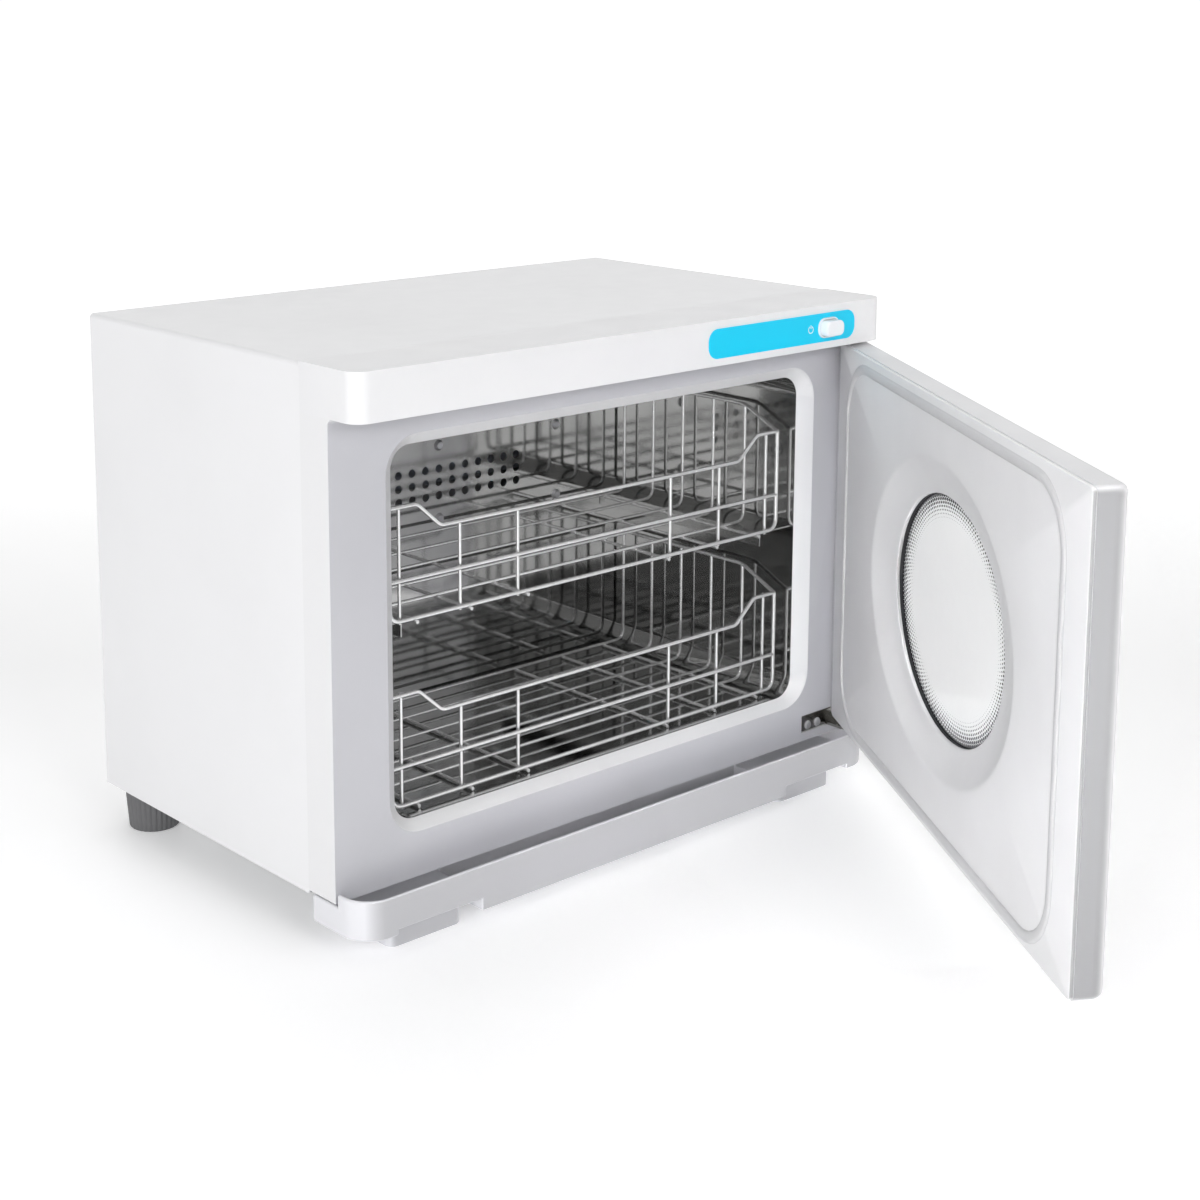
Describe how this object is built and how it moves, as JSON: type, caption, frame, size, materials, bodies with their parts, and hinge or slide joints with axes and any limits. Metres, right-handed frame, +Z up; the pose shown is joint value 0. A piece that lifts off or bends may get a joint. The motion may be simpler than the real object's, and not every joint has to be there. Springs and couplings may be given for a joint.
{
  "type": "uv sterilizer cabinet",
  "caption": "Tabletop cabinet with a polished chamber, a side-hung door with an oval window, wire baskets, a pull-out drip tray and a lamp behind a perforated back wall.",
  "frame": {"origin": "on the ground, under the middle of the casing's footprint", "axes": "+X to the right seen from the front, +Y to the back, +Z up"},
  "size_m": [0.45, 0.6426, 0.35],
  "materials": {
    "white_paint": "smooth gloss powder coat",
    "white_abs": "satin moulded, slightly glossy",
    "mirror_steel": "polished stainless sheet",
    "galvanised": "dull galvanised",
    "steel": "zinc plated",
    "wire": "bright stainless wire",
    "blue_label": "glossy printed film",
    "button_white": "glossy",
    "black_plastic": "matt",
    "grey_rubber": "matt moulded rubber",
    "black_rubber": "soft matt",
    "white_silicone": "soft satin",
    "magnet": "dark ferrite",
    "glass": "clear tempered",
    "frosted": "back-printed with a dark border and fading dots",
    "lamp_glass": "clear quartz",
    "aluminium": "satin",
    "brass": "satin",
    "lead": "PVC insulation",
    "nylon": "matt"
  },
  "bodies": {
    "cabinet": {"outer_casing": "white_paint", "back_panel": "white_paint", "base_plate": "galvanised", "casing_screws": "steel", "cable_inlet": "black_plastic", "front_frame": "white_abs", "header_label": "blue_label", "button_bezel": "button_white", "power_switch": "black_plastic", "catch_magnets": "magnet", "door_sensor": "black_plastic", "lower_hinge_bracket": "steel", "upper_hinge_bracket": "steel", "hinge_screws": "steel", "inner_liner": "mirror_steel", "liner_screws": "steel", "basket_rail_left": "mirror_steel", "basket_rail_right": "mirror_steel", "lamp_housing": "aluminium", "uv_lamp_tube": "lamp_glass", "uv_lamp_caps": "aluminium", "lamp_holder_left": "nylon", "lamp_holder_right": "nylon", "lamp_ballast": "galvanised", "terminal_block": "nylon", "lamp_leads": "lead", "front_foot_left": "white_abs", "front_foot_right": "white_abs", "rear_foot_left": "grey_rubber", "rear_foot_right": "grey_rubber", "foot_screws": "steel"},
    "door": {"door_shell": "white_abs", "door_inner_panel": "white_abs", "window_seal": "black_rubber", "window_glass_inner": "frosted", "window_spacer": "black_plastic", "window_glass_outer": "glass", "window_trim": "white_abs", "door_gasket": "white_silicone", "strike_plates": "steel", "door_sensor_magnet": "magnet", "hinge_bushes": "nylon"},
    "button": {"power_button": "button_white"},
    "tray": {"drip_tray": "white_abs"},
    "upper_basket": {"basket_upper": "wire"},
    "lower_basket": {"basket_lower": "wire"}
  },
  "joints": [
    {"name": "door_hinge", "type": "hinge", "parent": "cabinet", "child": "door", "pos_m": [0.213, -0.1295, 0.182], "axis": [0, 0, 1], "range_deg": [-57, 55]},
    {"name": "button_press", "type": "slide", "parent": "cabinet", "child": "button", "axis": [0, 1, 0], "range_m": [0, 0.003], "stiffness_N_per_m": 400},
    {"name": "tray_slide", "type": "slide", "parent": "cabinet", "child": "tray", "axis": [0, -1, 0], "range_m": [0, 0.045]},
    {"name": "upper_basket_slide", "type": "slide", "parent": "cabinet", "child": "upper_basket", "axis": [0, -1, 0], "range_m": [0, 0.07]},
    {"name": "lower_basket_slide", "type": "slide", "parent": "cabinet", "child": "lower_basket", "axis": [0, -1, 0], "range_m": [0, 0.07]}
  ]
}
